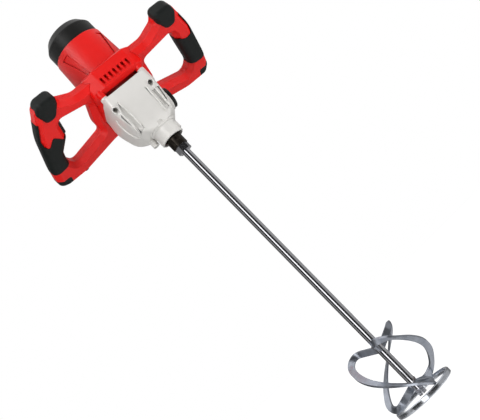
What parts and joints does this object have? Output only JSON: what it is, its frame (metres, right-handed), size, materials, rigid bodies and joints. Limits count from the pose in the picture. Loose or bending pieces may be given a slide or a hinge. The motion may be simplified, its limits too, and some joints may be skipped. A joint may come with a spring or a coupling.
{
  "type": "mixing drill",
  "caption": "Two-handed mixing drill: a geared motor between tilted hand loops drives a long rod with a helical ringed stirrer.",
  "frame": {"origin": "on the spindle axis at the lower end of the clamping collar", "axes": "+Z along the spindle from the stirrer up to the motor; -Y to the front, where the two deep screw holes of the gear case show; +X to the grip without the trigger"},
  "size_m": [0.348, 0.1893, 0.8372],
  "materials": {
    "cast_aluminium": "die-cast, fine blasted",
    "hard_steel": "ground and hardened",
    "blackened_steel": "machined and black oxidised",
    "seal_rubber": "moulded nitrile",
    "lamination_steel": "stacked sheet, varnished",
    "copper": "enamelled winding wire",
    "carbon": "pressed carbon",
    "brass": "stamped",
    "red_plastic": "injection moulded, fine satin",
    "cap_plastic": "injection moulded, satin",
    "grip_rubber": "soft overmould, fine texture",
    "black_plastic": "injection moulded",
    "fan_plastic": "injection moulded",
    "bright_steel": "drawn and bright plated",
    "zinc_steel": "zinc plated flat bar, welded"
  },
  "bodies": {
    "machine": {"gear_case": "cast_aluminium", "bearing_plate": "cast_aluminium", "case_screws": "hard_steel", "seal_ring": "seal_rubber", "spindle_main_bearing": "hard_steel", "spindle_top_bearing": "hard_steel", "counter_low_bearing": "hard_steel", "counter_top_bearing": "hard_steel", "motor_low_bearing": "hard_steel", "motor_top_bearing": "hard_steel", "fork_rail": "hard_steel", "stator": "lamination_steel", "field_coils": "copper", "carbon_brushes": "carbon", "brush_holders": "brass", "bearing_bridge": "cast_aluminium", "motor_housing": "red_plastic", "end_cap": "cap_plastic", "cap_screws": "hard_steel", "upper_loop_shell": "red_plastic", "lower_loop_shell": "red_plastic", "loop_screws": "hard_steel", "right_grip": "grip_rubber", "left_grip": "grip_rubber", "right_bumper": "grip_rubber", "left_bumper": "grip_rubber", "right_foot_pad": "grip_rubber", "left_foot_pad": "grip_rubber", "switch_body": "black_plastic", "cord_inlet": "grip_rubber"},
    "output": {"spindle": "blackened_steel", "spindle_spacers": "hard_steel", "low_wheel": "hard_steel", "high_wheel": "hard_steel", "stirrer_shaft": "bright_steel", "stirrer_ring": "zinc_steel", "stirrer_blade_1": "zinc_steel", "stirrer_blade_2": "zinc_steel", "stirrer_blade_3": "zinc_steel"},
    "layshaft": {"countershaft": "hard_steel", "counter_wheel": "hard_steel"},
    "cluster": {"sliding_cluster": "hard_steel"},
    "fork": {"shift_fork": "hard_steel"},
    "selector": {"selector_crank": "hard_steel", "selector_knob": "black_plastic"},
    "armature": {"armature_shaft": "hard_steel", "armature_core": "lamination_steel", "armature_windings": "copper", "commutator": "copper", "cooling_fan": "fan_plastic"},
    "trigger_blade": {"trigger": "black_plastic"},
    "lock": {"lock_button": "black_plastic"}
  },
  "joints": [
    {"name": "spindle_spin", "type": "hinge", "parent": "machine", "child": "output", "pos_m": [0, 0, 0], "axis": [0, 0, 1], "continuous": true},
    {"name": "countershaft_spin", "type": "hinge", "parent": "machine", "child": "layshaft", "pos_m": [0.02026, 0.02213, 0.08], "axis": [0, 0, 1], "continuous": true},
    {"name": "armature_spin", "type": "hinge", "parent": "machine", "child": "armature", "pos_m": [0, 0.035, 0.18], "axis": [0, 0, 1], "continuous": true},
    {"name": "gear_selector", "type": "hinge", "parent": "machine", "child": "selector", "pos_m": [0.049, 0.02213, 0.066], "axis": [1, 0, 0], "range_deg": [0, 120]},
    {"name": "cluster_slide", "type": "slide", "parent": "layshaft", "child": "cluster", "axis": [0, 0, 1], "range_m": [0, 0.0146]},
    {"name": "fork_slide", "type": "slide", "parent": "machine", "child": "fork", "axis": [0, 0, 1], "range_m": [0, 0.0146]},
    {"name": "trigger_pull", "type": "slide", "parent": "machine", "child": "trigger_blade", "axis": [-1, 0, 0], "range_m": [0, 0.005], "stiffness_N_per_m": 1500},
    {"name": "lock_press", "type": "slide", "parent": "machine", "child": "lock", "axis": [0, -0.3746, -0.9272], "range_m": [0, 0.0025], "stiffness_N_per_m": 800}
  ],
  "couplings": [
    {"joint": "countershaft_spin", "follows": "spindle_spin", "ratio": -4},
    {"joint": "armature_spin", "follows": "spindle_spin", "ratio": 17.333},
    {"joint": "cluster_slide", "follows": "gear_selector", "m_per_rad": 0.0069232},
    {"joint": "fork_slide", "follows": "gear_selector", "m_per_rad": 0.0069232}
  ]
}
